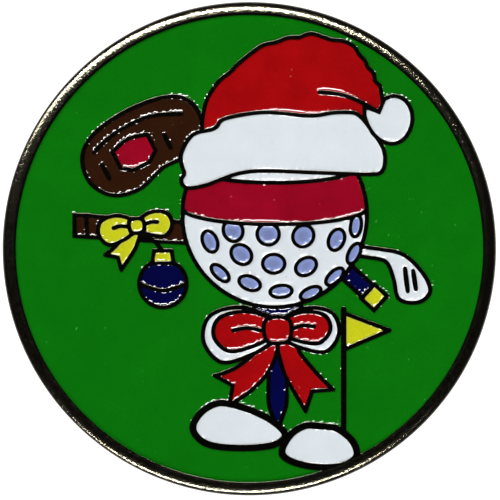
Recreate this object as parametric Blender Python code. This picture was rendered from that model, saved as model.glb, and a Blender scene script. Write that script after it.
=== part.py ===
"""A soft-enamel golf ball marker: a struck metal disc whose raised lines wall off pools of coloured enamel.

The artwork is a still life. A festive hat lies on a striped golf ball, and the ball stands on a tee with a
bow tied round it. Two golf clubs cross behind. A bauble hangs from one grip, and a flag stands in the snow.
Every shape is drawn whole, in plan. The shapes are listed from front to back, and each is cut by all that
lie in front of it, with half a raised line left on both sides of every edge.

The back face lies on z = 0 with its centre at the origin. +Y is the top of the artwork, +Z leaves the face.
"""

import math
from collections import namedtuple

import bmesh
import bpy
from mathutils import Vector
from mathutils.geometry import delaunay_2d_cdt

MM = 0.001

# Driving dimensions, in millimetres.
DIAMETER = 25.4
THICKNESS = 1.6
RIM_WIDTH = 0.64
RIM_RISE = 0.09
RIM_CREST = 0.06
SHOULDER_DROP = 0.30
EDGE_BREAK = 0.08
LINE = 0.20
RING_LINE = 0.17
BOLD_LINE = 0.34
POCKET_DEPTH = 0.40
ENAMEL_DROP = 0.08
GAP = 0.008
FIELD_MARGIN = 0.03
ENAMEL_ROUGHNESS = 0.16

RADIUS = DIAMETER / 2
FIELD_RADIUS = RADIUS - RIM_WIDTH
LINE_TOP = THICKNESS - RIM_RISE
POCKET_FLOOR = LINE_TOP - POCKET_DEPTH
ENAMEL_TOP = LINE_TOP - ENAMEL_DROP

# How finely outlines are drawn.
DISC_STEPS = 76
STEPS_PER_SPAN = 24
STRIPE_STEPS = 16
CHORD_ERROR = 0.015
LARGEST_TURN = math.radians(30)
CORNER_TURN = math.radians(24)
CLOSEST_POINTS = 0.03
STRAIGHT_ENOUGH = 0.003
SMALLEST_POOL = 0.06
SMALLEST_HOLE = 0.01
SHARP_CORNER = 0.6
SHARPEST_CORNER = 0.1
CUT_OFF_REACH = 0.7
SAME_POINT = 1e-5

# The ball, the latitudes of the stripe round it, and the places of its dimples in shares of its radius.
BALL_X, BALL_Y, BALL_R = 1.3, 1.75, 4.75
STRIPE_EDGES = (math.radians(4), math.radians(30.3))
STRIPE_LEAN = math.radians(10)
DIMPLE_R = 0.57
FLATTEST_DIMPLE = 0.5
DIMPLES = (
    (-0.45, -0.17), (-0.07, -0.21), (0.31, -0.23), (0.67, -0.27), (0.88, -0.12), (-0.70, -0.29),
    (-0.36, -0.43), (-0.01, -0.53), (0.34, -0.56), (0.86, -0.42), (-0.59, -0.63), (-0.27, -0.74),
    (0.07, -0.83), (0.39, -0.85), (0.65, -0.67),
)

METAL = ("gunmetal", (0.030, 0.028, 0.026), 0.30, 1.0)
COLOURS = {
    "green": (0.0030, 0.1600, 0.0033),
    "red": (0.3500, 0.0024, 0.0036),
    "crimson": (0.2900, 0.0024, 0.0150),
    "white": (0.7200, 0.7700, 0.8000),
    "lilac": (0.2300, 0.2900, 0.5600),
    "brown": (0.0270, 0.0080, 0.0028),
    "yellow": (0.6700, 0.6500, 0.0160),
    "navy": (0.0080, 0.0040, 0.0750),
}

Shape = namedtuple("Shape", "name colour outline line")
Pool = namedtuple("Pool", "name colour loops")


# ---------------------------------------------------------------- curves in plan


def turn_at(before, here, after):
    """The angle that a path turns through at a point."""
    into = math.atan2(here[1] - before[1], here[0] - before[0])
    out = math.atan2(after[1] - here[1], after[0] - here[0])
    return abs(math.remainder(out - into, math.tau))


def thinned(points, closed=True):
    """A dense path with only the points that its bends need. Its corners all stay.

    A bend leaves its chord by about an eighth of its length times the angle that it turns through.
    """
    count = len(points)
    turns = [turn_at(points[i - 1], points[i], points[(i + 1) % count]) for i in range(count)]
    first = turns.index(max(turns)) if closed else 0
    kept = [points[first]]
    turned = 0.0
    for step in range(1, count):
        i = (first + step) % count
        turned += turns[i]
        last = step == count - 1 and not closed
        bent = turned > LARGEST_TURN or turned * math.dist(points[i], kept[-1]) > 8 * CHORD_ERROR
        if last or bent or turns[i] > CORNER_TURN:
            kept.append(points[i])
            turned = 0.0
    return kept


def hermite(before, here, there, after, t):
    slope, next_slope = (there - before) / 2, (after - here) / 2
    rise = there - here
    return here + t * (slope + t * (3 * rise - 2 * slope - next_slope + t * (slope + next_slope - 2 * rise)))


def curve(points, closed=False, corners=()):
    """A smooth path through the points, sharp at the ones whose places in the list are corners."""
    count = len(points)
    path = []
    for i in range(count if closed else count - 1):
        here, there = points[i], points[(i + 1) % count]
        starts = i in corners or (i == 0 and not closed)
        ends = (i + 1) % count in corners or (i == count - 2 and not closed)
        before = here if starts else points[i - 1]
        after = there if ends else points[(i + 2) % count]
        for step in range(STEPS_PER_SPAN):
            t = step / STEPS_PER_SPAN
            path.append(tuple(hermite(before[k], here[k], there[k], after[k], t) for k in (0, 1)))
    if not closed:
        path.append(points[-1])
    return thinned(path, closed)


def blob(*points, corners=()):
    return curve(points, closed=True, corners=corners)


def placed(u, v, x, y, turn):
    """The point u, v turned about the origin and then moved by x, y."""
    return x + u * math.cos(turn) - v * math.sin(turn), y + u * math.sin(turn) + v * math.cos(turn)


def ellipse(x, y, a, b=None, tilt=0.0):
    """Points spaced by equal turns, so that a long ellipse keeps its ends as round as its sides."""
    b = b or a
    count = math.ceil(math.pi / math.acos(1 - CHORD_ERROR / max(a, b)))
    made = []
    for i in range(count):
        normal = math.tau * (i + 0.5) / count
        reach = math.hypot(a * math.cos(normal), b * math.sin(normal))
        made.append(placed(a * a * math.cos(normal) / reach, b * b * math.sin(normal) / reach, x, y, tilt))
    return made


def circle(r, count=DISC_STEPS):
    return [(r * math.cos(math.tau * i / count), r * math.sin(math.tau * i / count)) for i in range(count)]


def sides(path, start_half, end_half):
    """The left and right sides of a strip along an open path, from one half width to another."""
    left, right = [], []
    for i, (x, y) in enumerate(path):
        x0, y0 = path[max(i - 1, 0)]
        x1, y1 = path[min(i + 1, len(path) - 1)]
        half = (start_half + (end_half - start_half) * i / (len(path) - 1)) / math.hypot(x1 - x0, y1 - y0)
        left.append((x - (y1 - y0) * half, y + (x1 - x0) * half))
        right.append((x + (y1 - y0) * half, y - (x1 - x0) * half))
    return left, right


def strip(path, start_half, end_half=None, notch=0.0):
    """A strip with square ends, or with its far end cut to a swallow tail."""
    left, right = sides(path, start_half, end_half or start_half)
    end = []
    if notch:
        length = math.dist(path[-1], path[-2])
        end = [tuple(path[-1][k] - (path[-1][k] - path[-2][k]) * notch / length for k in (0, 1))]
    return right + end + left[::-1]


def stroke(name, path, width=LINE):
    """A free raised line, with round ends."""
    left, right = sides(path, width / 2, width / 2)
    outline = right + half_turn(right[-1], left[-1]) + left[::-1] + half_turn(left[0], right[0])
    return Shape(name, None, outline, 0.0)


def half_turn(start, end, steps=4):
    """The inner points of the half circle that runs anticlockwise from start to end."""
    x, y = (start[0] + end[0]) / 2, (start[1] + end[1]) / 2
    first = math.atan2(start[1] - y, start[0] - x)
    r = math.dist(start, end) / 2
    turns = [first + math.pi * i / steps for i in range(1, steps)]
    return [(x + r * math.cos(turn), y + r * math.sin(turn)) for turn in turns]


def about(points, x, y, scale=1.0, mirror=False, turn=0.0):
    """Points drawn about the origin, placed at x, y."""
    return [placed((-u if mirror else u) * scale, v * scale, x, y, turn) for u, v in points]


def area(points):
    return sum(a[0] * b[1] - b[0] * a[1] for a, b in zip(points, points[1:] + points[:1])) / 2


def anticlockwise(points):
    return points if area(points) > 0 else points[::-1]


def moved(points, by):
    """A closed path with every side moved to its right by a distance. That grows an anticlockwise outline.

    A sharp corner that would run out to a long point is cut off instead.
    """
    made = []
    for i, (x, y) in enumerate(points):
        (x0, y0), (x1, y1) = points[i - 1], points[(i + 1) % len(points)]
        into, out = math.dist((x, y), (x0, y0)), math.dist((x, y), (x1, y1))
        u0, v0 = (x - x0) / into, (y - y0) / into
        u1, v1 = (x1 - x) / out, (y1 - y) / out
        share = 1 + u0 * u1 + v0 * v1
        if share < SHARP_CORNER and (u0 * v1 - v0 * u1) * by > 0:
            reach = abs(by) * CUT_OFF_REACH
            made.append((x + by * v0 + reach * u0, y - by * u0 + reach * v0))
            made.append((x + by * v1 - reach * u1, y - by * u1 - reach * v1))
        else:
            share = max(share, SHARPEST_CORNER)
            made.append((x + by * (v0 + v1) / share, y - by * (u0 + u1) / share))
    return made


# ---------------------------------------------------------------- the artwork, front to back


def hat():
    """A fur-edged hat. The tip of its crown folds down into a nick in the pompom."""
    pompom = blob(
        (6.67, 7.03), (6.25, 7.2), (5.92, 7.26), (5.93, 6.85), (6.15, 6.25), (6.6, 5.68), (7.3, 5.4),
        (7.95, 5.65), (8.33, 6.3), (8.36, 7.0), (8.05, 7.6), (7.5, 7.86), (6.95, 7.72), corners=(0, 2, 12),
    )
    brim = blob(
        (-3.47, 4.25), (-3.52, 4.8), (-3.25, 5.45), (-2.8, 5.93), (-1.95, 6.13), (-1.65, 6.3), (-1.35, 6.66),
        (0.0, 6.95), (1.1, 7.02), (2.2, 6.9), (3.3, 6.84), (4.2, 6.99), (5.0, 7.02), (5.65, 6.85),
        (6.5, 5.8), (6.9, 5.1), (6.98, 4.5), (6.85, 4.02), (6.4, 3.84), (4.6, 3.87), (2.6, 3.95), (0.4, 4.0),
        (-0.9, 3.78), (-1.9, 3.38), (-3.0, 3.12), (-3.42, 3.26), (-3.5, 3.6), (-3.34, 3.85),
    )
    crown = blob(
        (-2.5, 5.7), (-2.38, 6.9), (-2.12, 7.8), (-1.5, 8.68), (-0.98, 9.08), (-0.7, 9.4), (0.3, 10.2),
        (0.72, 10.48), (1.35, 10.62), (2.05, 10.87), (2.5, 10.86), (3.13, 11.07), (3.7, 10.92), (4.2, 10.76),
        (4.85, 10.68), (5.38, 10.4), (5.65, 9.98), (5.97, 9.65), (6.06, 9.38), (6.4, 9.0), (6.45, 8.65),
        (6.72, 8.38), (6.78, 7.9), (6.9, 7.2), (6.2, 6.0), (1.5, 6.0), corners=(0, 23),
    )
    return [
        Shape("hat_pompom", "white", pompom, LINE),
        Shape("hat_brim", "white", brim, LINE),
        stroke("hat_fold", curve([(3.6, 8.05), (4.6, 7.95), (5.6, 7.62), (6.62, 7.05)])),
        Shape("hat_crown", "red", crown, LINE),
    ]


def stripe():
    """A painted band round the ball, between two latitudes about a pole that leans out of the face."""
    lean = STRIPE_LEAN
    rows = []
    for latitude in STRIPE_EDGES:
        reach = math.acos(-math.tan(latitude) * math.tan(lean))
        row = []
        for step in range(-STRIPE_STEPS, STRIPE_STEPS + 1):
            forward = math.cos(latitude) * math.cos(reach * step / STRIPE_STEPS)
            across = math.cos(latitude) * math.sin(reach * step / STRIPE_STEPS)
            row.append((across, math.sin(latitude) * math.cos(lean) - forward * math.sin(lean)))
        rows.append(row)
    low, high = (math.asin(row[0][1]) for row in rows)
    limb = [low + (high - low) * step / 8 for step in range(1, 8)]
    right = [(math.cos(turn), math.sin(turn)) for turn in limb]
    left = [(-x, y) for x, y in reversed(right)]
    outline = rows[0] + right + rows[1][::-1] + left
    return Shape("stripe", "crimson", [(BALL_X + BALL_R * x, BALL_Y + BALL_R * y) for x, y in outline], LINE)


def dimples():
    """Round dimples, as the ellipses that they look like from straight above the ball."""
    made = []
    for x, y in DIMPLES:
        facing = math.sqrt(1 - x * x - y * y)
        place = (BALL_X + BALL_R * x, BALL_Y + BALL_R * y)
        made.append(ellipse(*place, DIMPLE_R * max(facing, FLATTEST_DIMPLE), DIMPLE_R, math.atan2(y, x)))
    return made


def bow(name, x, y, scale, turn, colour, trim=None, reach=(1.0, 1.0)):
    """A tied bow: a knot in front of two loops, each with a raised crease and perhaps a trimmed edge."""
    loop = ((0.0, 0.42), (1.5, 1.05), (2.9, 0.75), (3.25, -0.35), (2.5, -1.3), (1.1, -1.0), (0.0, -0.42))
    crease = ((0.75, 0.0), (1.35, 0.14), (1.95, 0.05))
    knot = (
        (0.62, 0.45), (0.0, 0.66), (-0.62, 0.45), (-0.7, -0.2), (-0.45, -0.66), (0.45, -0.66), (0.7, -0.2),
    )
    made = [Shape(name + "_knot", colour, blob(*about(knot, x, y, scale, turn=turn)), LINE)]
    for label, mirror, stretch in (("left", True, reach[0]), ("right", False, reach[1])):
        place = dict(x=x, y=y, scale=scale * stretch, mirror=mirror, turn=turn)
        made.append(stroke(name + "_crease_" + label, curve(about(crease, **place))))
        outline = blob(*about(loop, **place), corners=(0, 6))
        if trim:
            inner = about([(u * 0.86, v * 0.72 + 0.1) for u, v in loop], **place)
            made.append(Shape(name + "_loop_" + label, colour, blob(*inner, corners=(0, 6)), LINE))
            made.append(Shape(name + "_trim_" + label, trim, outline, LINE))
        else:
            made.append(Shape(name + "_loop_" + label, colour, outline, LINE))
    return made


def tee_and_bow():
    left_tail = curve([(1.2, -4.3), (0.7, -5.7), (-0.3, -6.7), (-1.4, -7.3)])
    right_tail = curve([(1.7, -4.3), (2.2, -5.8), (2.9, -6.9), (3.6, -7.8)])
    half_tee = [(1.2, -2.6), (1.2, -3.2), (0.5, -3.75), (0.45, -8.0), (0.0, -9.4)]
    tee = about(half_tee, 1.45, 0.0) + about(half_tee, 1.45, 0.0, mirror=True)[-2::-1]
    return bow("bow", 1.45, -4.15, 1.0, math.radians(3), "red", "white", reach=(1.18, 0.97)) + [
        Shape("bow_tail_left", "red", strip(left_tail, 0.42, 0.86, notch=0.6), LINE),
        Shape("bow_tail_right", "red", strip(right_tail, 0.42, 0.9, notch=0.6), LINE),
        Shape("tee", "navy", tee, LINE),
    ]


def snow():
    """Two drifts. The right one runs up against the rim."""
    left = blob(
        (-2.9, -9.3), (-2.5, -8.45), (-1.65, -7.95), (-0.75, -8.05), (0.3, -8.4), (1.3, -8.95), (1.85, -9.6),
        (1.2, -10.1), (-0.45, -10.25), (-2.15, -10.05),
    )
    right = blob(
        (1.7, -10.6), (2.1, -9.6), (2.9, -9.1), (3.7, -9.15), (4.5, -9.25), (5.3, -9.9), (5.5, -10.7),
        (4.6, -11.2), (2.9, -11.15),
    )
    return [
        Shape("snow_right", "white", right, BOLD_LINE),
        Shape("snow_left", "white", left, BOLD_LINE),
    ]


def flag():
    pennant = [(4.85, -3.3), (7.2, -4.2), (4.85, -5.2)]
    return [
        stroke("flagstick", [(4.85, -3.1), (4.85, -6.0), (4.85, -9.6)], BOLD_LINE * 0.8),
        Shape("flag", "yellow", pennant, LINE),
    ]


def bauble():
    """A bauble hung by a short string from the ribbon that is tied round the iron's grip."""
    cap = [(-4.9, -0.1), (-4.0, -0.1), (-3.9, -0.75), (-5.0, -0.75)]
    tail = curve([(-5.9, 0.9), (-6.3, 0.1), (-7.0, -0.7)])
    return bow("ribbon", -5.8, 1.2, 0.56, math.radians(8), "yellow", reach=(1.1, 1.0)) + [
        Shape("ribbon_tail", "yellow", strip(tail, 0.34, 0.56, notch=0.35), LINE),
        Shape("bauble_cap", "yellow", cap, LINE),
        stroke("bauble_band", curve([(-5.55, -1.85), (-4.45, -2.15), (-3.35, -1.85)])),
        Shape("bauble", "navy", ellipse(-4.45, -1.8, 1.22), LINE),
        stroke("bauble_string", [(-5.5, 0.8), (-4.9, 0.4), (-4.45, -0.1)]),
    ]


def clubs():
    """A wood with its head at the upper left, and an iron with its head at the right."""
    wood = blob(
        (-2.2, 5.4), (-2.6, 7.0), (-3.4, 7.75), (-4.6, 7.75), (-6.4, 7.05), (-8.0, 5.9), (-8.6, 4.7),
        (-8.2, 3.4), (-7.0, 2.75), (-5.6, 3.1), (-4.4, 4.2), (-3.3, 4.7), corners=(0,),
    )
    sole = curve([(-8.0, 4.95), (-6.9, 5.95), (-5.2, 6.8), (-3.5, 6.95)])
    half_insert = [(0.0, 0.78), (1.0, 0.55), (1.0, -0.4), (0.45, -0.78)]
    insert = about(half_insert + [(-u, v) for u, v in half_insert[:0:-1]], -5.9, 4.95, turn=math.radians(27))
    scores = [[(-7.6, 4.35), (-7.2, 3.6)], [(-4.4, 5.9), (-4.05, 5.2)]]
    iron = blob(
        (5.0, 0.2), (6.9, -0.05), (8.0, -0.35), (8.95, -1.3), (9.3, -2.2), (8.7, -2.75), (7.7, -2.6),
        (7.45, -1.7), (7.1, -0.75), (6.5, -0.5), (5.0, -0.3), corners=(0, 10),
    )
    grooves = [
        curve([(8.0 + 0.42 * i, -1.0 - 0.12 * i), (8.15 + 0.42 * i, -2.2 + 0.1 * i)]) for i in range(2)
    ]
    grip = [(-9.0, 1.75), (-2.5, 1.3), (-2.5, 0.25), (-9.0, 0.65)]
    return (
        [stroke("groove_%d" % i, path) for i, path in enumerate(grooves)]
        + [Shape("iron_head", "white", iron, LINE)]
        + [stroke("grip_cap_line", [(-8.4, 1.75), (-8.35, 0.6)])]
        + [Shape("iron_grip", "brown", grip, LINE)]
        + [Shape("wood_insert", "crimson", insert, LINE)]
        + [stroke("score_%d" % i, path) for i, path in enumerate(scores)]
        + [stroke("sole_line", sole), Shape("wood_head", "brown", wood, LINE)]
        + [Shape("wood_butt", "yellow", strip([(6.1, -2.2), (6.75, -2.8)], 0.5), LINE)]
        + [Shape("wood_grip", "navy", strip([(3.5, 0.2), (6.1, -2.2)], 0.42), LINE)]
    )


def shapes():
    ball = ellipse(BALL_X, BALL_Y, BALL_R)
    numbered = [Shape("dimple", "lilac", outline, RING_LINE) for outline in dimples()]
    field = Shape("field", "green", circle(FIELD_RADIUS - FIELD_MARGIN), 0.0)
    return (
        hat() + [stripe()] + numbered + [Shape("ball", "white", ball, LINE)]
        + snow() + tee_and_bow() + flag() + bauble() + clubs() + [field]
    )


# ---------------------------------------------------------------- from shapes to pools


def cut_plane(polygons):
    """The plane in triangles that follow every polygon's sides, and for each the polygons that it lies in."""
    points, rings = [], []
    for polygon in polygons:
        rings.append(list(range(len(points), len(points) + len(polygon))))
        points += [Vector(point) for point in polygon]
    made = delaunay_2d_cdt(points, [], rings, 0, SAME_POINT, False)
    corners = [tuple(corner) for corner in made[0]]
    boxes = [(*map(min, zip(*polygon)), *map(max, zip(*polygon))) for polygon in polygons]
    inside = []
    for triangle in made[2]:
        x, y = (sum(corners[i][k] for i in triangle) / 3 for k in (0, 1))
        near = [i for i, (x0, y0, x1, y1) in enumerate(boxes) if x0 < x < x1 and y0 < y < y1]
        inside.append([i for i in near if surrounds(polygons[i], x, y)])
    return corners, [tuple(triangle) for triangle in made[2]], inside


def surrounds(polygon, x, y):
    """Whether a path from the point to far away crosses the polygon an odd number of times."""
    odd = False
    for (x0, y0), (x1, y1) in zip(polygon, polygon[1:] + polygon[:1]):
        if (y0 > y) != (y1 > y) and x < x0 + (x1 - x0) * (y - y0) / (y1 - y0):
            odd = not odd
    return odd


def joined(triangles):
    """The triangles in groups that hang together by their sides."""
    across = {(a, b): i for i, (p, q, r) in enumerate(triangles) for a, b in ((p, q), (q, r), (r, p))}
    left = set(range(len(triangles)))
    groups = []
    while left:
        reached = [left.pop()]
        for i in reached:
            p, q, r = triangles[i]
            for side in ((q, p), (r, q), (p, r)):
                if across.get(side) in left:
                    left.discard(across[side])
                    reached.append(across[side])
        groups.append([triangles[i] for i in reached])
    return groups


def edge_loops(triangles, corners):
    """The closed paths round a group of triangles, with the group always on the left."""
    every = {side for p, q, r in triangles for side in ((p, q), (q, r), (r, p))}
    follow = {a: b for a, b in every if (b, a) not in every}
    loops = []
    while follow:
        path = [min(follow)]
        while path[-1] in follow:
            path.append(follow.pop(path[-1]))
        loops.append([corners[i] for i in path[:-1]])
    return [tidied(loop) for loop in loops if abs(area(loop)) > SMALLEST_HOLE]


def tidied(points):
    """A closed path without points that stand too close together or on a straight line."""
    kept = []
    for point in points:
        if not kept or math.dist(point, kept[-1]) > CLOSEST_POINTS:
            kept.append(point)
    while math.dist(kept[0], kept[-1]) <= CLOSEST_POINTS:
        kept.pop()
    bent = []
    for i, (x, y) in enumerate(kept):
        (x0, y0), (x1, y1) = kept[i - 1], kept[(i + 1) % len(kept)]
        off = abs((x1 - x0) * (y - y0) - (y1 - y0) * (x - x0)) / math.dist((x0, y0), (x1, y1))
        if off > STRAIGHT_ENOUGH:
            bent.append((x, y))
    return bent


def pools(drawn):
    """One pool for every stretch of a shape that can be seen between the raised lines."""
    polygons, marks = [], []
    for depth, shape in enumerate(drawn):
        outline = anticlockwise(shape.outline)
        polygons.append(moved(outline, shape.line / 2 + GAP))
        marks.append((depth, False))
        if shape.colour:
            polygons.append(moved(outline, -shape.line / 2 - GAP))
            marks.append((depth, True))
    corners, triangles, inside = cut_plane(polygons)
    seen = {}
    for triangle, places in zip(triangles, inside):
        if places:
            depth = min(marks[i][0] for i in places)
            if (depth, True) in (marks[i] for i in places):
                seen.setdefault(depth, []).append(triangle)
    made = []
    for depth in sorted(seen):
        for group in joined(seen[depth]):
            if sum(area([corners[i] for i in triangle]) for triangle in group) > SMALLEST_POOL:
                made.append(Pool(drawn[depth].name, drawn[depth].colour, edge_loops(group, corners)))
    return numbered_pools(made)


def numbered_pools(made):
    """Pools that share a name get a number, from left to right."""
    result = []
    for name in dict.fromkeys(pool.name for pool in made):
        same = [pool for pool in made if pool.name == name]
        same.sort(key=lambda pool: min(map(min, pool.loops)))
        for i, pool in enumerate(same):
            result.append(pool._replace(name=name if len(same) == 1 else "%s_%02d" % (name, i + 1)))
    return result


# ---------------------------------------------------------------- from pools to solids


def add_prism(mesh, loops, height):
    """A flat sheet inside the loops, extruded upwards."""
    sides = []
    for loop in loops:
        corners = [mesh.verts.new((x * MM, y * MM, 0.0)) for x, y in loop]
        sides += [mesh.edges.new(pair) for pair in zip(corners, corners[1:] + corners[:1])]
    sheet = bmesh.ops.triangle_fill(mesh, use_beauty=True, use_dissolve=False, edges=sides)["geom"]
    extrude(mesh, [item for item in sheet if isinstance(item, bmesh.types.BMFace)], height)


def extrude(mesh, faces, height):
    """The faces extruded upwards. Gives back the moved ones."""
    lifted = bmesh.ops.extrude_face_region(mesh, geom=faces)["geom"]
    corners = [item for item in lifted if isinstance(item, bmesh.types.BMVert)]
    bmesh.ops.translate(mesh, vec=(0.0, 0.0, height * MM), verts=corners)
    return [item for item in lifted if isinstance(item, bmesh.types.BMFace)]


def disc_section():
    """(radius, height) from the back face up the edge, over the rim's round shoulder and down inside it."""
    crest = FIELD_RADIUS + RIM_CREST
    section = [(RADIUS - EDGE_BREAK, 0.0), (RADIUS, EDGE_BREAK)]
    for turn in range(0, 91, 15):
        across, up = math.cos(math.radians(turn)), math.sin(math.radians(turn))
        section.append((crest + (RADIUS - crest) * across, THICKNESS - SHOULDER_DROP * (1 - up)))
    return section + [(FIELD_RADIUS, LINE_TOP)]


def add_turned(mesh, section):
    """A round solid. Its top face is extruded and scaled from each (radius, height) to the next."""
    r, z = section[0]
    bmesh.ops.create_circle(mesh, cap_ends=True, segments=DISC_STEPS, radius=r * MM)
    top = back = mesh.faces[:]
    for next_r, next_z in section[1:]:
        raised = extrude(mesh, top, next_z - z)
        bmesh.ops.scale(mesh, vec=(next_r / r, next_r / r, 1.0), verts=raised[0].verts[:])
        if top != back:
            bmesh.ops.delete(mesh, geom=top, context="FACES_ONLY")
        top, r, z = raised, next_r, next_z


def made_object(name, mesh, z=0.0, material=None, smooth_under=30):
    bmesh.ops.recalc_face_normals(mesh, faces=mesh.faces[:])
    data = bpy.data.meshes.new(name)
    mesh.to_mesh(data)
    mesh.free()
    if material:
        data.materials.append(material)
    data.shade_smooth()
    data.set_sharp_from_angle(angle=math.radians(smooth_under))
    made = bpy.data.objects.new(name, data)
    made.location.z = z * MM
    bpy.context.scene.collection.objects.link(made)
    return made


def enamel(pool, material):
    mesh = bmesh.new()
    add_prism(mesh, pool.loops, ENAMEL_TOP - POCKET_FLOOR - GAP)
    return made_object("enamel_" + pool.name, mesh, POCKET_FLOOR + GAP, material)


def struck_disc(filled, material):
    """The disc with its crowned rim. One cutter sinks all the pockets, each a hair larger than its pool."""
    mesh = bmesh.new()
    for pool in filled:
        add_prism(mesh, [moved(loop, GAP) for loop in pool.loops], THICKNESS)
    cutter = made_object("pocket_cutter", mesh, POCKET_FLOOR)
    cutter.hide_render = True
    cutter.display_type = "WIRE"
    mesh = bmesh.new()
    add_turned(mesh, disc_section())
    disc = made_object("struck_disc", mesh, material=material, smooth_under=40)
    pockets = disc.modifiers.new("pockets", "BOOLEAN")
    pockets.object = cutter
    pockets.operation = "DIFFERENCE"
    pockets.solver = "EXACT"
    return disc


def paint(name, colour, roughness, metallic):
    material = bpy.data.materials.new(name)
    material.use_nodes = True
    shader = material.node_tree.nodes["Principled BSDF"]
    shader.inputs["Base Color"].default_value = (*colour, 1.0)
    shader.inputs["Roughness"].default_value = roughness
    shader.inputs["Metallic"].default_value = metallic
    material.diffuse_color = (*colour, 1.0)
    return material


for leftover in list(bpy.data.objects):
    bpy.data.objects.remove(leftover)

filled = pools(shapes())
disc = struck_disc(filled, paint(*METAL))
enamels = {
    colour: paint("enamel_" + colour, value, ENAMEL_ROUGHNESS, 0.0) for colour, value in COLOURS.items()
}
for pool in filled:
    enamel(pool, enamels[pool.colour]).parent = disc
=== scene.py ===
"""The finished look of a soft-enamel golf ball marker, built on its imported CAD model.

Every pool of enamel is remade from the outline of its CAD node, as a fine surface that climbs the metal
round it. The struck disc is remade with rounded shoulders on its lines, a crowned rim and a pocket under
each pool. Shapes are in millimetres until a mesh is written. Materials, lights and the camera are in metres.
"""

import math

import bpy
import numpy as np
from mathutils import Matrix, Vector, kdtree, noise
from mathutils.geometry import delaunay_2d_cdt


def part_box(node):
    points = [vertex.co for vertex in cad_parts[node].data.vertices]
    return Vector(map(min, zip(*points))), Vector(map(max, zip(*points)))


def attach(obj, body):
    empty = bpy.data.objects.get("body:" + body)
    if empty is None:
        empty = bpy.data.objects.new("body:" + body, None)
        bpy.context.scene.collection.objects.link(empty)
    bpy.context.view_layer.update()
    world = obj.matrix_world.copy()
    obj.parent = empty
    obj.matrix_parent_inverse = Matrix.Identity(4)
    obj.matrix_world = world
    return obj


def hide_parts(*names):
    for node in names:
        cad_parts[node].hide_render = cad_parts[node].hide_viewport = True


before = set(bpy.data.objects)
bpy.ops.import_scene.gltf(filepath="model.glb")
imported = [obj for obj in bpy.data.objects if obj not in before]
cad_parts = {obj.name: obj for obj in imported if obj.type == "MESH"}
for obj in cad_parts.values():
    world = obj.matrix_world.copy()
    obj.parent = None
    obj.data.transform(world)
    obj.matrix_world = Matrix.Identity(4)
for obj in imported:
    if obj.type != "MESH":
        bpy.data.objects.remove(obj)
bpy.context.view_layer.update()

MM = 0.001

# What the frame gives: the disc's radius and thickness, and the levels between which the enamel lies.
DISC_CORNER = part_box("struck_disc")[1]
RADIUS = DISC_CORNER.x / MM
TOP = DISC_CORNER.z / MM
POOLS = sorted(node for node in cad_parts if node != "struck_disc")
ENAMEL_FLOOR, ENAMEL_TOP = (corner.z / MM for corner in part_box(POOLS[0]))

# The rim, with a land inside its crest and a crown that falls away to the edge.
RIM_WIDTH = 0.64
RIM_RISE = 0.09
RIM_SLOPE = 0.001
RIM_CREST = 0.06
CROWN_DROP = 0.25
CROWN_STEP = 6
RIM_STEPS = 600
FIELD_RADIUS = RADIUS - RIM_WIDTH
LINE_TOP = TOP - RIM_RISE

# The edge and the back: levels of rings, the broken corner, and rings as shares of the radius.
EDGE_LEVELS = (1.0, 0.6, 0.3)
EDGE_BREAK = 0.08
BREAK_STEP = 18
BACK_RINGS = (0.97, 0.9, 0.75, 0.5, 0.25)

# The raised lines: their shoulders, and slow waves that stay below LINE_TOP.
SHOULDER_WIDTH = 0.022
SHOULDER_DEPTH = 0.0032
LINE_WAVES = ((0.0025, 1.1, 2.0),)
LINE_DIP = 0.0025

# Outlines: the distance between points, the sharpest bend that stays round, and how far corners are eased.
SPACING = 0.05
FEWEST_POINTS = 10
CURVE_STEPS = 12
CORNER = math.radians(33)
CORNER_BLUR = 0.03
BLUR_REACH = 2

# Points between the outlines: rows beside the walls, and a staggered grid beyond the rows.
METAL_ROWS = (0.008, 0.022, 0.06)
METAL_PITCH = 0.16
METAL_MARGIN = 0.012
ENAMEL_ROWS = (0.02, 0.04, 0.062, 0.086, 0.115, 0.15, 0.2, 0.27)
ENAMEL_PITCH = 0.3
ROW_CLEARANCE = 0.93
ROW_GAP_BY_SPACING = 0.55
ROW_GAP_BY_DISTANCE = 1.2
GRID_RISE = 0.87
GRID_CLEARANCE = 0.4

# The least sizes that count.
SAME_LEVEL = 0.01
SAME_POINT = 1e-7
SLIVER = 1e-4
TINY = 1e-12

# How the enamel climbs its walls, and falls away from them. NARROW and BROAD are how far the middle of such
# a pool lies from its walls.
CLIMB = 0.06
CLIMB_REACH = 0.125
LEAST_CLIMB = 0.002
MOST_CLIMB = 0.068
NARROW = 0.3
BROAD = 1.8

# The mean climb and its waves along the walls, as shares of CLIMB: first in a narrow pool, and then what a
# broad one adds. Each wave ends with its cells per millimetre and its seed.
MEAN_CLIMB = (0.82, -0.49)
CLIMB_WAVES = (
    (0.5, 1.1, 0.33, 3.0),
    (0.35, 0.0, 1.1, 6.0),
    (0.7, -0.4, 4.6, 8.0),
    (0.6, 0.0, 9.5, 11.0),
)

# Beside the rim the enamel climbs less.
RIM_BELT = 0.1
RIM_CLIMB = 0.15

# Slow waves of each pool's whole surface.
POOL_WAVES = ((0.005, 0.5, 1.0), (0.0015, 1.7, 5.0))

# A pool reaches into the metal, so that no gap shows, and stays clear of its pocket's floor.
OVERLAP = 0.012
FLOOR_GAP = 0.01

# Edges that bend more than this many degrees are drawn sharp.
METAL_CREASE = 45
ENAMEL_CREASE = 50


# ---------------------------------------------------------------- outlines


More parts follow.
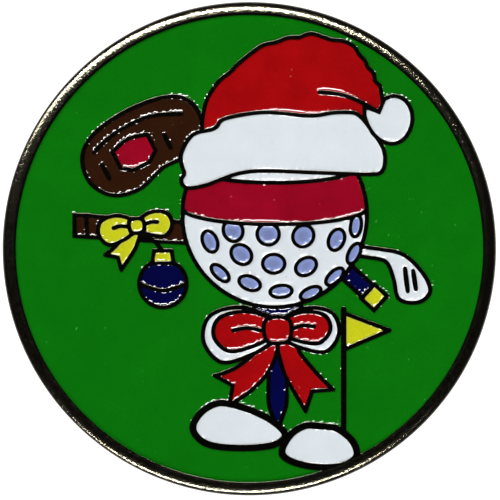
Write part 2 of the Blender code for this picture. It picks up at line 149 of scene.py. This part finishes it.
def cad_loops(node):
    """The closed paths round the top of a CAD node, with the node's own side on the left."""
    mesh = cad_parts[node].data
    where = [tuple(round(value / MM, 3) for value in vertex.co) for vertex in mesh.vertices]
    top = max(place[2] for place in where)
    sides = set()
    for polygon in mesh.polygons:
        corners = [where[i] for i in polygon.vertices]
        if min(place[2] for place in corners) > top - SAME_LEVEL:
            flat = [place[:2] for place in corners]
            sides.update(zip(flat, flat[1:] + flat[:1]))
    follow = {a: b for a, b in sides if (b, a) not in sides}
    loops = []
    while follow:
        path = [min(follow)]
        while path[-1] in follow:
            path.append(follow.pop(path[-1]))
        loops.append(np.array(path[:-1]))
    return loops


def smooth(loop):
    """Evenly spaced points on a curve through the loop's, round at its bends and sharp at its corners."""
    count = len(loop)
    into = loop - np.roll(loop, 1, 0)
    out = np.roll(into, -1, 0)
    turn = np.arctan2(into[:, 0] * out[:, 1] - into[:, 1] * out[:, 0], (into * out).sum(1))
    corner = np.abs(turn) > CORNER
    dense = []
    for i in range(count):
        here, there = loop[i], loop[(i + 1) % count]
        before = 2 * here - there if corner[i] else loop[i - 1]
        after = 2 * there - here if corner[(i + 1) % count] else loop[(i + 2) % count]
        dense.append(curve(before, here, there, after))
    return blurred(resampled(np.vstack(dense)))


def curve(before, here, there, after):
    """Points from here to there on a centripetal Catmull-Rom curve, without its end."""
    stretches = ((before, here), (here, there), (there, after))
    k0, k1, k2, k3 = np.cumsum([0.0] + [math.sqrt(np.hypot(*(b - a))) for a, b in stretches])
    t = np.linspace(k1, k2, CURVE_STEPS + 1)[:-1, None]
    a1 = ((k1 - t) * before + (t - k0) * here) / (k1 - k0)
    a2 = ((k2 - t) * here + (t - k1) * there) / (k2 - k1)
    a3 = ((k3 - t) * there + (t - k2) * after) / (k3 - k2)
    b1 = ((k2 - t) * a1 + (t - k0) * a2) / (k2 - k0)
    b2 = ((k3 - t) * a2 + (t - k1) * a3) / (k3 - k1)
    return ((k2 - t) * b1 + (t - k1) * b2) / (k2 - k1)


def resampled(path):
    """Evenly spaced points round a closed path."""
    ring = np.vstack([path, path[:1]])
    along = np.concatenate([[0.0], np.cumsum(np.hypot(*np.diff(ring, axis=0).T))])
    count = max(FEWEST_POINTS, round(along[-1] / SPACING))
    stops = np.arange(count) * along[-1] / count
    return np.column_stack([np.interp(stops, along, ring[:, k]) for k in (0, 1)])


def blurred(path):
    """The path with its corners eased by a small bell-shaped average along it."""
    shifts = range(-BLUR_REACH, BLUR_REACH + 1)
    weights = [math.exp(-0.5 * (shift * SPACING / CORNER_BLUR) ** 2) for shift in shifts]
    total = sum(weight * np.roll(path, shift, 0) for weight, shift in zip(weights, shifts))
    return total / sum(weights)


def rights(path):
    """Unit vectors to the right of a closed path."""
    along = np.roll(path, -1, 0) - np.roll(path, 1, 0)
    along /= np.hypot(*along.T)[:, None] + TINY
    return np.column_stack([along[:, 1], -along[:, 0]])


class Walls:
    """Answers how far points are from the nearest of a set of closed paths, and where on them."""

    def __init__(self, loops):
        self.start = np.vstack(loops)
        self.end = np.vstack([np.roll(loop, -1, 0) for loop in loops])
        offsets = np.cumsum([0] + [len(loop) for loop in loops])
        self.before = np.concatenate([np.roll(np.arange(a, b), 1) for a, b in zip(offsets, offsets[1:])])
        self.tree = kdtree.KDTree(len(self.start))
        for i, (x, y) in enumerate(self.start):
            self.tree.insert((x, y, 0.0), i)
        self.tree.balance()

    def nearest(self, points):
        """Distances, below zero for points on the right of the walls, and the nearest places on the walls."""
        found = np.array([self.tree.find((x, y, 0.0))[1] for x, y in points])
        best = np.full(len(points), np.inf)
        place = np.zeros((len(points), 2))
        left = np.zeros(len(points))
        for side in (found, self.before[found]):
            a, b = self.start[side], self.end[side]
            share = ((points - a) * (b - a)).sum(1) / np.maximum(((b - a) ** 2).sum(1), TINY)
            foot = a + np.clip(share, 0, 1)[:, None] * (b - a)
            away = np.hypot(*(points - foot).T)
            left += np.sign((b - a)[:, 0] * (points - a)[:, 1] - (b - a)[:, 1] * (points - a)[:, 0])
            closer = away < best
            best[closer], place[closer] = away[closer], foot[closer]
        return np.where(left < 0, -best, best), place


def surrounded(loops, point):
    """Whether a path from the point to far away crosses the loops an odd number of times."""
    odd = False
    for loop in loops:
        a, b = loop, np.roll(loop, -1, 0)
        spans = (a[:, 1] > point[1]) != (b[:, 1] > point[1])
        a, b = a[spans], b[spans]
        crossing = a[:, 0] + (b[:, 0] - a[:, 0]) * (point[1] - a[:, 1]) / (b[:, 1] - a[:, 1])
        odd ^= bool((crossing > point[0]).sum() % 2)
    return odd


# ---------------------------------------------------------------- flat sheets of triangles


def thinned(points, least):
    """The points without those that come within a distance of an earlier one."""
    taken = {}
    kept = []
    for x, y in points:
        cell = (math.floor(x / least), math.floor(y / least))
        near = (taken.get((cell[0] + i, cell[1] + j), ()) for i in (-1, 0, 1) for j in (-1, 0, 1))
        if all((x - u) ** 2 + (y - v) ** 2 >= least * least for group in near for u, v in group):
            taken.setdefault(cell, []).append((x, y))
            kept.append((x, y))
    return np.array(kept).reshape(-1, 2)


def inner_points(loops, walls, rows, pitch, side):
    """Points in rows on one side of the walls, 1 for left and -1 for right, and in a grid beyond the rows."""
    groups = []
    for row in rows:
        line = np.vstack([loop - side * row * rights(loop) for loop in loops])
        away = side * walls.nearest(line)[0]
        gap = min(SPACING * ROW_GAP_BY_SPACING, row * ROW_GAP_BY_DISTANCE)
        groups.append(thinned(line[away > row * ROW_CLEARANCE], gap))
    low, high = np.vstack(loops).min(0), np.vstack(loops).max(0)
    grid = np.array([
        (low[0] + (i + 0.5 * (j % 2)) * pitch, low[1] + j * pitch * GRID_RISE)
        for j in range(int((high[1] - low[1]) / pitch / GRID_RISE) + 2)
        for i in range(int((high[0] - low[0]) / pitch) + 2)
    ])
    groups.append(grid[side * walls.nearest(grid)[0] > rows[-1] + pitch * GRID_CLEARANCE])
    return np.vstack(groups)


def spread(corners):
    """Twice the area of a triangle."""
    (ax, ay), (bx, by), (cx, cy) = corners
    return abs((bx - ax) * (cy - ay) - (by - ay) * (cx - ax))


def sheet(loops, extra=()):
    """The corners of a sheet between the loops, with the loops' own points first, and its triangles."""
    points = np.vstack(list(loops) + ([extra] if len(extra) else []))
    sides = []
    start = 0
    for loop in loops:
        ring = list(range(start, start + len(loop)))
        sides += list(zip(ring, ring[1:] + ring[:1]))
        start += len(loop)
    made = delaunay_2d_cdt([Vector(point) for point in points], sides, [], 0, SAME_POINT, False)
    corners = np.array([tuple(corner) for corner in made[0]])
    triangles = [tuple(triangle) for triangle in made[2]]
    kept = []
    # Regions outside the loops are left out, and so are slivers beside a straight side.
    for group in regions(triangles, {frozenset(side) for side in sides}):
        largest = max((corners[list(triangles[i])] for i in group), key=spread)
        if spread(largest) > SLIVER and surrounded(loops, largest.mean(0)):
            kept += group
    used = sorted({corner for i in kept for corner in triangles[i]})
    number = {corner: i for i, corner in enumerate(used)}
    return corners[used], [tuple(number[corner] for corner in triangles[i]) for i in sorted(kept)]


def regions(triangles, closed):
    """Groups of neighbouring triangles that the closed sides part from one another."""
    across = {(a, b): i for i, (p, q, r) in enumerate(triangles) for a, b in ((p, q), (q, r), (r, p))}
    left = set(range(len(triangles)))
    groups = []
    while left:
        group = [left.pop()]
        for i in group:
            p, q, r = triangles[i]
            for a, b in ((q, p), (r, q), (p, r)):
                other = across.get((a, b))
                if other in left and frozenset((a, b)) not in closed:
                    left.discard(other)
                    group.append(other)
        groups.append(group)
    return groups


# ---------------------------------------------------------------- pieces


def wall_faces(loops, upper, lower, flip=False):
    """Quads between two copies of the loops, whose corners start at the given numbers."""
    faces = []
    start = 0
    for loop in loops:
        count = len(loop)
        for i in range(count):
            j = (i + 1) % count
            quad = (lower + start + i, lower + start + j, upper + start + j, upper + start + i)
            faces.append(quad[::-1] if flip else quad)
        start += count
    return faces


def new_piece(name, node, places, faces, material, crease):
    """A smooth object that stands for a CAD node."""
    mesh = bpy.data.meshes.new(name)
    mesh.from_pydata([tuple(place * MM) for place in places], [], faces)
    mesh.materials.append(material)
    mesh.shade_smooth()
    mesh.set_sharp_from_angle(angle=math.radians(crease))
    piece = bpy.data.objects.new(name, mesh)
    bpy.context.scene.collection.objects.link(piece)
    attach(piece, "root")
    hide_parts(node)
    return piece


def waves(x, y, layers):
    """The sum of layers of smooth noise, each a height, a number of cells per millimetre and a seed."""
    return sum(height * noise.noise(Vector((x * cells, y * cells, seed))) for height, cells, seed in layers)


def enamel_piece(node, loops, material):
    """A pool of enamel. Its surface climbs the metal, higher in some places than in others.

    Its attribute wall, the distance from the metal in millimetres, is for the material, which paints a sheen
    near the walls of some pools.
    """
    walls = Walls(loops)
    corners, triangles = sheet(loops, inner_points(loops, walls, ENAMEL_ROWS, ENAMEL_PITCH, 1))
    away, foot = walls.nearest(corners)
    away = np.abs(away)
    broad = min(max((away.max() - NARROW) / (BROAD - NARROW), 0.0), 1.0)
    mean = MEAN_CLIMB[0] + MEAN_CLIMB[1] * broad
    layers = [(share + more * broad, cells, seed) for share, more, cells, seed in CLIMB_WAVES]
    height = np.empty(len(corners))
    for i, ((x, y), distance, (u, v)) in enumerate(zip(corners, away, foot)):
        climb = CLIMB * (mean + waves(u, v, layers))
        if math.hypot(u, v) > FIELD_RADIUS - RIM_BELT:
            climb *= RIM_CLIMB
        climb = min(max(climb, LEAST_CLIMB), MOST_CLIMB)
        height[i] = ENAMEL_TOP + climb * math.exp(-distance / CLIMB_REACH) + waves(x, y, POOL_WAVES)
    walled = sum(len(loop) for loop in loops)
    places = [np.append(corner, z) for corner, z in zip(corners, height)]
    places += [np.append(corner, ENAMEL_FLOOR + FLOOR_GAP) for corner in corners[:walled]]
    faces = triangles + wall_faces(loops, 0, len(corners))
    faces += [tuple(len(corners) + i for i in triangle[::-1]) for triangle in sheet(loops)[1]]
    piece = new_piece(node.replace("enamel_", "pool_"), node, places, faces, material, ENAMEL_CREASE)
    from_wall = piece.data.attributes.new("wall", "FLOAT", "POINT")
    from_wall.data.foreach_set("value", np.concatenate([away, np.zeros(walled)]).astype(np.float32))


def arc(angles):
    """The cosine and the sine of each angle, given in degrees."""
    return [(math.cos(math.radians(angle)), math.sin(math.radians(angle))) for angle in angles]


def rim_section():
    """(radius, height) from the top of the rim's inner side, over its crown and down the edge to the back."""
    crest = FIELD_RADIUS + RIM_CREST
    section = [(FIELD_RADIUS + RIM_SLOPE, TOP)]
    for across, up in arc(range(90, -1, -CROWN_STEP)):
        section.append((crest + (RADIUS - crest) * across, TOP - CROWN_DROP * (1 - up)))
    section += [(RADIUS, level) for level in EDGE_LEVELS]
    for across, up in arc(range(0, 91, BREAK_STEP)):
        section.append((RADIUS - EDGE_BREAK * (1 - across), EDGE_BREAK * (1 - up)))
    return section + [(RADIUS * share, 0.0) for share in BACK_RINGS]


def struck_disc(pockets, material):
    """The disc: lines with rounded shoulders, a pocket for each pool, the rim, the edge and the back."""
    angles = np.arange(RIM_STEPS) * math.tau / RIM_STEPS
    circle = FIELD_RADIUS * np.column_stack([np.cos(angles), np.sin(angles)])
    every = [loop for loops in pockets for loop in loops]
    walls = Walls(every)
    extra = inner_points(every, walls, METAL_ROWS, METAL_PITCH, -1)
    corners, faces = sheet(every + [circle], extra[np.hypot(*extra.T) < FIELD_RADIUS - METAL_MARGIN])
    away = np.abs(walls.nearest(corners)[0])
    walled = sum(len(loop) for loop in every)
    away[:walled] = 0.0
    share = np.clip(away / SHOULDER_WIDTH, 0, 1)
    height = LINE_TOP - SHOULDER_DEPTH * (1 - np.sqrt(np.clip(1 - (1 - share) ** 2, 0, 1)))
    height += [waves(x, y, LINE_WAVES) - LINE_DIP for x, y in corners]
    places = [np.append(corner, z) for corner, z in zip(corners, height)]
    lower = len(places)
    places += [np.append(corner, ENAMEL_FLOOR) for corner in corners[:walled]]
    faces += wall_faces(every, 0, lower, flip=True)
    start = lower
    for loops in pockets:
        faces += [tuple(start + i for i in triangle) for triangle in sheet(loops)[1]]
        start += sum(len(loop) for loop in loops)
    inner = walled
    for distance, z in rim_section():
        outer = len(places)
        places += [np.array((distance * math.cos(turn), distance * math.sin(turn), z)) for turn in angles]
        for i in range(RIM_STEPS):
            j = (i + 1) % RIM_STEPS
            faces.append((inner + i, outer + i, outer + j, inner + j))
        inner = outer
    places.append(np.zeros(3))
    faces += [(inner + i, len(places) - 1, inner + (i + 1) % RIM_STEPS) for i in range(RIM_STEPS)]
    new_piece("disc", "struck_disc", places, faces, material, METAL_CREASE)


# ---------------------------------------------------------------- materials

# Most of a noise's values lie between these.
NOISE_RANGE = (0.3, 0.7)

# Where noise turns into specks in the enamel, and into worn places on the metal.
DUST_RANGE = (0.785, 0.83)
WEAR_RANGE = (0.62, 0.75)
WEAR_SHARE = 0.35

# How much an enamel's colour varies over longer ways, as a share of its cloud.
DRIFT_SHARE = 0.7

# Each enamel's colour and that of its specks. Some have a lighter colour near the walls as far as the reach
# given
# with it, in millimetres: a painted sheen where the enamel climbs the metal. cloud and grain are how much the
# colour varies from place to place.
ENAMELS = {
    "green": {"colour": (0.00225, 0.12, 0.002475), "speck": (0.0375, 0.225, 0.0375), "cloud": 0.05},
    "red": {"colour": (0.262, 0.0019, 0.0028), "speck": (0.375, 0.045, 0.045)},
    "crimson": {"colour": (0.2175, 0.0018, 0.01125), "speck": (0.3375, 0.0375, 0.06)},
    "white": {
        "colour": (0.53, 0.573, 0.602),
        "speck": (0.375, 0.39, 0.405),
        "edge": (0.555, 0.5925, 0.615),
        "sheen_reach": 0.2,
        "cloud": 0.03,
        "grain": 0.015,
    },
    "lilac": {
        "colour": (0.135, 0.168, 0.327),
        "speck": (0.375, 0.4125, 0.5625),
        "edge": (0.20, 0.255, 0.50),
        "sheen_reach": 0.3,
    },
    "brown": {"colour": (0.02025, 0.006, 0.0021), "speck": (0.075, 0.045, 0.0225)},
    "yellow": {
        "colour": (0.424, 0.44, 0.009),
        "speck": (0.6, 0.6, 0.225),
        "edge": (0.49, 0.49, 0.06),
        "sheen_reach": 0.12,
        "cloud": 0.05,
    },
    "navy": {"colour": (0.001, 0.0014, 0.039), "speck": (0.0375, 0.0375, 0.165)},
}

# The plating's colours, and where it changes, in metres: at a distance from the middle, and at two heights.
NICKEL = (0.085, 0.077, 0.062)
DARK_NICKEL = (0.06, 0.056, 0.046)
BRIGHT_NICKEL = (0.21, 0.192, 0.138)
WORN_NICKEL = (0.19, 0.16, 0.12)
RIM_FROM = (0.01205, 0.01215)
CROWN_FROM = (0.00149, 0.00154)
BACK_FROM = (0.00004, 0.00001)

# The sockets of a Mix node that mixes colours: the share and the two colours, and the result.
MIX_COLOUR_INPUTS = (0, 6, 7)
MIX_COLOUR_OUTPUT = 2


class Finish:
    """A Principled material, built one node at a time from the object's own coordinates."""

    def __init__(self, name, metallic=0.0, ior=1.5, specular=0.5):
        self.material = bpy.data.materials.new(name)
        self.material.use_nodes = True
        self.nodes = self.material.node_tree.nodes
        self.links = self.material.node_tree.links
        self.surface = self.nodes["Principled BSDF"]
        self.surface.inputs["Metallic"].default_value = metallic
        self.surface.inputs["IOR"].default_value = ior
        self.surface.inputs["Specular IOR Level"].default_value = specular
        self.place = self.nodes.new("ShaderNodeTexCoord").outputs["Object"]

    def fill(self, node, inputs):
        """Gives the node's inputs, by number or name, a value or a link from another node."""
        for key, value in inputs:
            if isinstance(value, bpy.types.NodeSocket):
                self.links.new(value, node.inputs[key])
            else:
                node.inputs[key].default_value = value

    def add(self, kind, inputs=(), **settings):
        """A new node, with its inputs in order and its settings by name."""
        node = self.nodes.new(kind)
        for name, value in settings.items():
            setattr(node, name, value)
        self.fill(node, enumerate(inputs))
        return node

    def math(self, operation, *values):
        return self.add("ShaderNodeMath", values, operation=operation).outputs[0]

    def product(self, first, second):
        return self.math("MULTIPLY", first, second)

    def noise(self, cells, detail, vector=None, distortion=0.0, roughness=0.5):
        """Noise with a number of cells per metre and a number of finer layers in them."""
        node = self.add("ShaderNodeTexNoise", (vector or self.place,))
        settings = {"Scale": cells, "Detail": detail, "Roughness": roughness, "Distortion": distortion}
        self.fill(node, settings.items())
        return node.outputs["Fac"]

    def vector(self, x, y, z):
        return self.add("ShaderNodeCombineXYZ", (x, y, z)).outputs[0]

    def span(self, value, low, high, start=0.0, end=1.0):
        """The value's place between low and high, as a number between start and end."""
        return self.add("ShaderNodeMapRange", (value, low, high, start, end), clamp=True).outputs[0]

    def varied(self, cells, detail, start=0.0, end=1.0):
        """Noise that fills the stretch between start and end."""
        return self.span(self.noise(cells, detail), *NOISE_RANGE, start, end)

    def mix(self, share, first, second, blend="MIX"):
        """One colour mixed into another. A colour is three numbers or a link from another node."""
        node = self.add("ShaderNodeMix", data_type="RGBA", blend_type=blend)
        first, second = ((*value, 1.0) if isinstance(value, tuple) else value for value in (first, second))
        self.fill(node, zip(MIX_COLOUR_INPUTS, (share, first, second)))
        return node.outputs[MIX_COLOUR_OUTPUT]

    def cover(self, colour, roughness, *bumps):
        """Sets the colour, the roughness and the bumps, each a height in metres and a pattern."""
        self.links.new(colour, self.surface.inputs["Base Color"])
        self.links.new(roughness, self.surface.inputs["Roughness"])
        normal = None
        for distance, pattern in bumps:
            node = self.add("ShaderNodeBump")
            self.fill(node, (("Strength", 1.0), ("Distance", distance), ("Height", pattern)))
            if normal:
                self.links.new(normal, node.inputs["Normal"])
            normal = node.outputs[0]
        self.links.new(normal, self.surface.inputs["Normal"])


def enamel_finish(name, colour, speck, edge=None, sheen_reach=0.0, cloud=0.10, grain=0.07):
    """Glossy fired enamel: slightly uneven pigment, a few specks, a gentle orange peel, and in some a painted
    sheen near the walls.
    """
    finish = Finish(name, ior=1.65)
    drift = cloud * DRIFT_SHARE
    clouds = finish.varied(700, 3.0, 1 - cloud, 1 + cloud)
    grains = finish.varied(11000, 2.0, 1 - grain, 1 + grain)
    drifts = finish.varied(150, 2.0, 1 - drift, 1 + drift)
    tone = finish.product(finish.product(clouds, drifts), grains)
    base = finish.mix(1.0, colour, finish.vector(tone, tone, tone), "MULTIPLY")
    # Lighter colour near the walls, fading out over the reach: a painted sheen where the enamel climbs the
    # metal.
    if edge:
        wall = finish.add("ShaderNodeAttribute", attribute_name="wall", attribute_type="GEOMETRY")
        base = finish.mix(finish.span(wall.outputs["Fac"], 0.0, sheen_reach, 1.0, 0.0), base, edge)
    dust = finish.span(finish.noise(3800, 1.0), *DUST_RANGE)
    base = finish.mix(dust, base, speck)
    roughness = finish.varied(2600, 3.0, 0.05, 0.09)
    finish.cover(base, roughness, (1.5e-6, finish.noise(1900, 2.0)), (2.5e-7, finish.noise(9000, 1.0)))
    return finish.material


def metal_finish():
    """Black nickel plating: a bright streaked rim, drawn lines down the edge and a matt pebbled back."""
    finish = Finish("gunmetal_plate", metallic=1.0)
    x, y, z = finish.add("ShaderNodeSeparateXYZ", (finish.place,)).outputs
    out = finish.math("SQRT", finish.math("ADD", finish.product(x, x), finish.product(y, y)))
    across, up = finish.math("DIVIDE", x, out), finish.math("DIVIDE", y, out)

    def lines(fineness, along, cells):
        """Noise with the given fineness round the disc, and cells per metre along one direction."""
        round_disc = (finish.product(across, fineness), finish.product(up, fineness))
        return finish.noise(1.0, 3.0, finish.vector(*round_disc, finish.product(along, cells)))

    on_rim = finish.span(out, *RIM_FROM)
    on_crown = finish.product(on_rim, finish.span(z, *CROWN_FROM))
    on_back = finish.span(z, *BACK_FROM)
    worn = finish.span(finish.noise(2100, 4.0, distortion=0.6), *WEAR_RANGE)
    base = finish.mix(finish.varied(420, 3.0), NICKEL, DARK_NICKEL)
    base = finish.mix(on_crown, base, BRIGHT_NICKEL)
    base = finish.mix(finish.product(worn, WEAR_SHARE), base, WORN_NICKEL)
    grain = finish.noise(5200, 3.0)
    rough = finish.span(grain, *NOISE_RANGE, 0.11, 0.17)
    finish.cover(
        base,
        finish.math("ADD", rough, finish.product(on_back, 0.2)),
        (0.8e-6, grain),
        (7.0e-6, finish.product(lines(150.0, out, 6000.0), on_rim)),
        (11.0e-6, finish.product(finish.noise(9500, 2.0), on_rim)),
        (1.0e-6, finish.product(lines(190.0, z, 1200.0), on_rim)),
        (9.0e-6, finish.product(finish.noise(4200, 2.0, roughness=0.6), on_back)),
    )
    return finish.material


# ---------------------------------------------------------------- surroundings

# Two long level soft boxes that face down: the middles of the short sides, and the width.
STRIPS = {
    "upper_strip": ((-0.53, 0.33), (0.075, 0.180), 0.036),
    "lower_strip": ((-0.43, -0.53), (0.175, -0.355), 0.044),
}
STRIP_HEIGHT = 0.4
STRIP_RADIANCE = 54.0

# The sky's grey at heights from the horizon, 0, to the top, 1. Below the horizon it is as at the horizon.
SKY = ((0.0, 1.0), (0.06, 0.95), (0.17, 0.20), (0.32, 0.06), (0.55, 0.022), (0.95, 0.006))

# A white sheet that glows, so that it shows no shadow.
FLOOR_REACH = 3.0
FLOOR_DROP = 2e-6
FLOOR_GREY = 0.3
FLOOR_ROUGHNESS = 0.9
FLOOR_GLOW = 0.97

# The camera looks straight down from EYE and sees SEEN_WIDTH at the height of the disc's top.
EYE = (0.000035, -0.000065, 0.30)
DISC_TOP = 0.0016
SEEN_WIDTH = 0.02571
SENSOR_WIDTH = 36.0


def strip_light(name, start, end, width):
    along = Vector(end) - Vector(start)
    light = bpy.data.lights.new(name, "AREA")
    light.shape = "RECTANGLE"
    light.size = along.length
    light.size_y = width
    light.energy = STRIP_RADIANCE * math.pi * light.size * light.size_y
    lamp = bpy.data.objects.new(name, light)
    lamp.location = (*((Vector(start) + Vector(end)) / 2), STRIP_HEIGHT)
    lamp.rotation_euler.z = math.atan2(along.y, along.x)
    bpy.context.scene.collection.objects.link(lamp)


def sky():
    world = bpy.data.worlds.new("studio")
    bpy.context.scene.world = world
    world.use_nodes = True
    nodes, links = world.node_tree.nodes, world.node_tree.links
    place = nodes.new("ShaderNodeTexCoord")
    split = nodes.new("ShaderNodeSeparateXYZ")
    ramp = nodes.new("ShaderNodeValToRGB")
    stops = ramp.color_ramp.elements
    stops[0].position, stops[1].position = SKY[0][0], SKY[-1][0]
    for position, _ in SKY[1:-1]:
        stops.new(position)
    for stop, (_, grey) in zip(stops, SKY):
        stop.color = (grey, grey, grey, 1)
    links.new(place.outputs["Generated"], split.inputs[0])
    links.new(split.outputs["Z"], ramp.inputs[0])
    links.new(ramp.outputs[0], nodes["Background"].inputs["Color"])


def floor():
    mesh = bpy.data.meshes.new("floor")
    corners = [(FLOOR_REACH * x, FLOOR_REACH * y, 0) for x, y in ((-1, -1), (1, -1), (1, 1), (-1, 1))]
    mesh.from_pydata(corners, [], [(0, 1, 2, 3)])
    paper = Finish("paper", specular=0.0)
    paper.surface.inputs["Base Color"].default_value = (FLOOR_GREY, FLOOR_GREY, FLOOR_GREY, 1)
    paper.surface.inputs["Roughness"].default_value = FLOOR_ROUGHNESS
    paper.surface.inputs["Emission Color"].default_value = (1, 1, 1, 1)
    paper.surface.inputs["Emission Strength"].default_value = FLOOR_GLOW
    mesh.materials.append(paper.material)
    ground = bpy.data.objects.new("floor", mesh)
    ground.location.z = -FLOOR_DROP
    bpy.context.scene.collection.objects.link(ground)


def camera():
    scene = bpy.context.scene
    lens = bpy.data.cameras.new("camera")
    lens.sensor_width = SENSOR_WIDTH
    lens.lens = SENSOR_WIDTH * (EYE[2] - DISC_TOP) / SEEN_WIDTH
    lens.clip_start, lens.clip_end = 0.01, 20.0
    eye = bpy.data.objects.new("camera", lens)
    eye.location = EYE
    scene.collection.objects.link(eye)
    scene.camera = eye
    scene.view_settings.view_transform = "Standard"


# ---------------------------------------------------------------- the marker

finishes = {"enamel_" + name: enamel_finish(name + "_enamel", **look) for name, look in ENAMELS.items()}
outlines = {node: [smooth(loop) for loop in cad_loops(node)] for node in POOLS}
struck_disc(list(outlines.values()), metal_finish())
for node, loops in outlines.items():
    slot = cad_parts[node].data.materials[0].name
    grown = [loop + OVERLAP * rights(loop) for loop in loops]
    enamel_piece(node, grown, finishes[slot])

for name, strip in STRIPS.items():
    strip_light(name, *strip)
sky()
floor()
camera()
